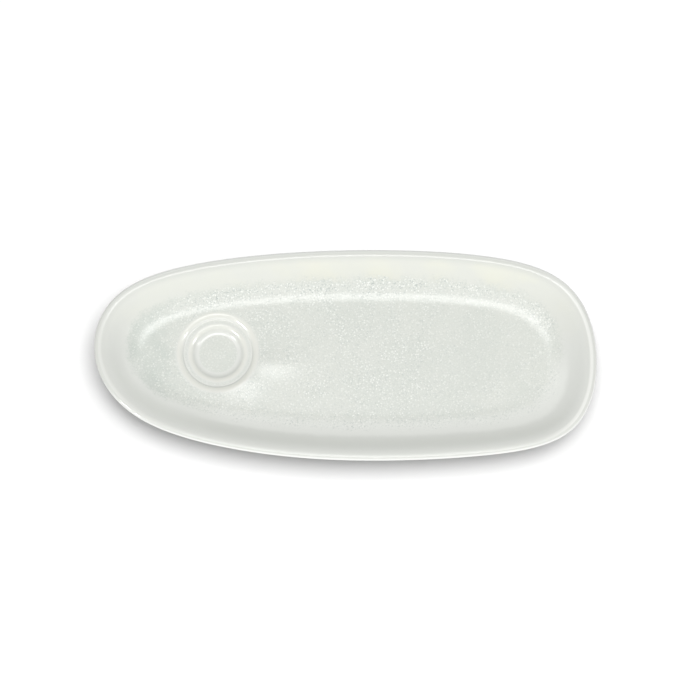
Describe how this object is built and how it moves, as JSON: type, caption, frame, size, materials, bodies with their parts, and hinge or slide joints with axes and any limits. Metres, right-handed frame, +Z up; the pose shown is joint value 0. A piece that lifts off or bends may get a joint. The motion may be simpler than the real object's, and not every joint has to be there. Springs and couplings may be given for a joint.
{
  "type": "asparagus plate",
  "caption": "Long oval stoneware plate with a rolled rim, a dished wall, a flat floor, a two-step round well for a dip bowl near its narrow end, and a foot ring.",
  "frame": {"origin": "on the table surface, under the middle of the plate's length and width", "axes": "+X along the plate from its narrow end, which has the well, to its broad end; +Y across the plate to its far side; +Z up"},
  "size_m": [0.36, 0.154, 0.028],
  "materials": {
    "fired_clay": "bare fired clay, fine-grained and matte, ground smooth on the foot ring",
    "pearl_glaze": "glossy off-white glaze with a pale green cast, a faint pearl sheen, fine white crystals on the floor, and a creamier tone where it thins over edges"
  },
  "bodies": {
    "root": {"clay_body": "fired_clay", "outer_glaze": "pearl_glaze", "foot_glaze": "pearl_glaze"}
  },
  "joints": []
}
